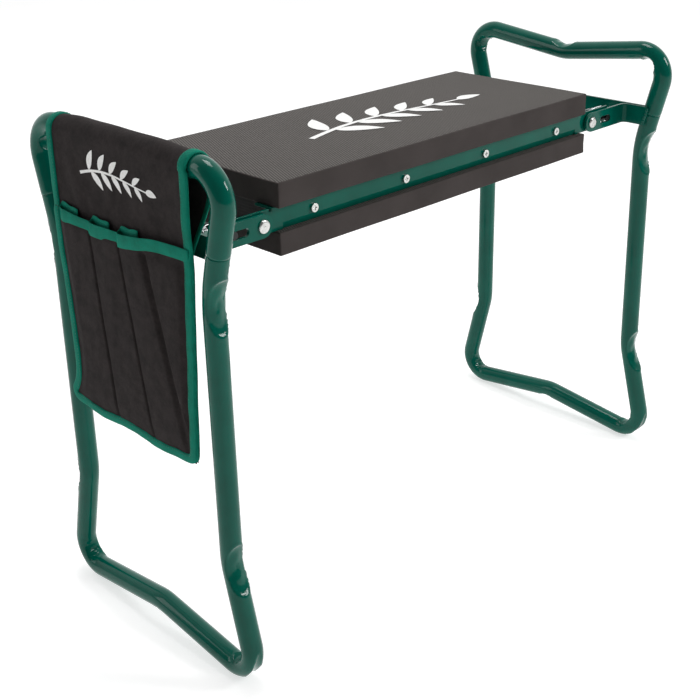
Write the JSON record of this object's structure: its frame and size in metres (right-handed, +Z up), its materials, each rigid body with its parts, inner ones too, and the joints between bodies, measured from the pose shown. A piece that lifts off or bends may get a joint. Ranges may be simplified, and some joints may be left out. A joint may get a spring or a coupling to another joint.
{
  "type": "garden kneeler seat",
  "caption": "Folding garden kneeler that turns over into a seat: padded steel deck between two folding U-shaped leg frames, with a tool pouch on one handle.",
  "frame": {"origin": "on the ground, under the middle of the seat, with the legs unfolded", "axes": "+X along the seat, from the leg frame that carries the pouch to the other one; +Y to the back; +Z up"},
  "size_m": [0.6462, 0.2862, 0.4904],
  "materials": {
    "green_powder_coat": "gloss",
    "eva_foam": "matte",
    "zinc_plate": "satin",
    "plywood": "matte",
    "washer_nylon": "matte",
    "spring_steel": "satin",
    "black_polyester": "matte",
    "green_binding": "matte",
    "hook_and_loop": "matte"
  },
  "bodies": {
    "seat": {"seat_pad": "eva_foam", "kneeling_pad": "eva_foam", "core_board": "plywood", "front_rail": "green_powder_coat", "rear_rail": "green_powder_coat", "front_rail_screws": "zinc_plate", "rear_rail_screws": "zinc_plate", "left_pivot_rivets": "zinc_plate", "right_pivot_rivets": "zinc_plate", "left_pivot_washers": "washer_nylon", "right_pivot_washers": "washer_nylon"},
    "left_leg": {"left_handle_tube": "green_powder_coat", "left_foot_tube": "green_powder_coat", "left_cross_plate": "green_powder_coat", "left_front_arm": "green_powder_coat", "left_rear_arm": "green_powder_coat", "left_lock_springs": "spring_steel", "pouch_panel": "black_polyester", "pouch_pockets": "black_polyester", "pouch_edge_binding": "green_binding", "pouch_pocket_binding": "green_binding", "pouch_closure": "hook_and_loop"},
    "right_leg": {"right_handle_tube": "green_powder_coat", "right_foot_tube": "green_powder_coat", "right_cross_plate": "green_powder_coat", "right_front_arm": "green_powder_coat", "right_rear_arm": "green_powder_coat", "right_lock_springs": "spring_steel"},
    "left_lock": {"left_lock_rod": "zinc_plate", "left_rod_collars": "zinc_plate"},
    "right_lock": {"right_lock_rod": "zinc_plate", "right_rod_collars": "zinc_plate"}
  },
  "joints": [
    {"name": "left_leg_fold", "type": "hinge", "parent": "seat", "child": "left_leg", "pos_m": [-0.2367, 0, 0.40665], "axis": [0, -1, 0], "range_deg": [0, 86.5]},
    {"name": "right_leg_fold", "type": "hinge", "parent": "seat", "child": "right_leg", "pos_m": [0.2367, 0, 0.40665], "axis": [0, 1, 0], "range_deg": [0, 93]},
    {"name": "left_lock_slide", "type": "slide", "parent": "left_leg", "child": "left_lock", "axis": [1, 0, 0], "range_m": [0, 0.01], "stiffness_N_per_m": 600, "springref_m": -0.01, "deforming": ["left_lock_springs"]},
    {"name": "right_lock_slide", "type": "slide", "parent": "right_leg", "child": "right_lock", "axis": [-1, 0, 0], "range_m": [0, 0.01], "stiffness_N_per_m": 600, "springref_m": -0.01, "deforming": ["right_lock_springs"]}
  ]
}
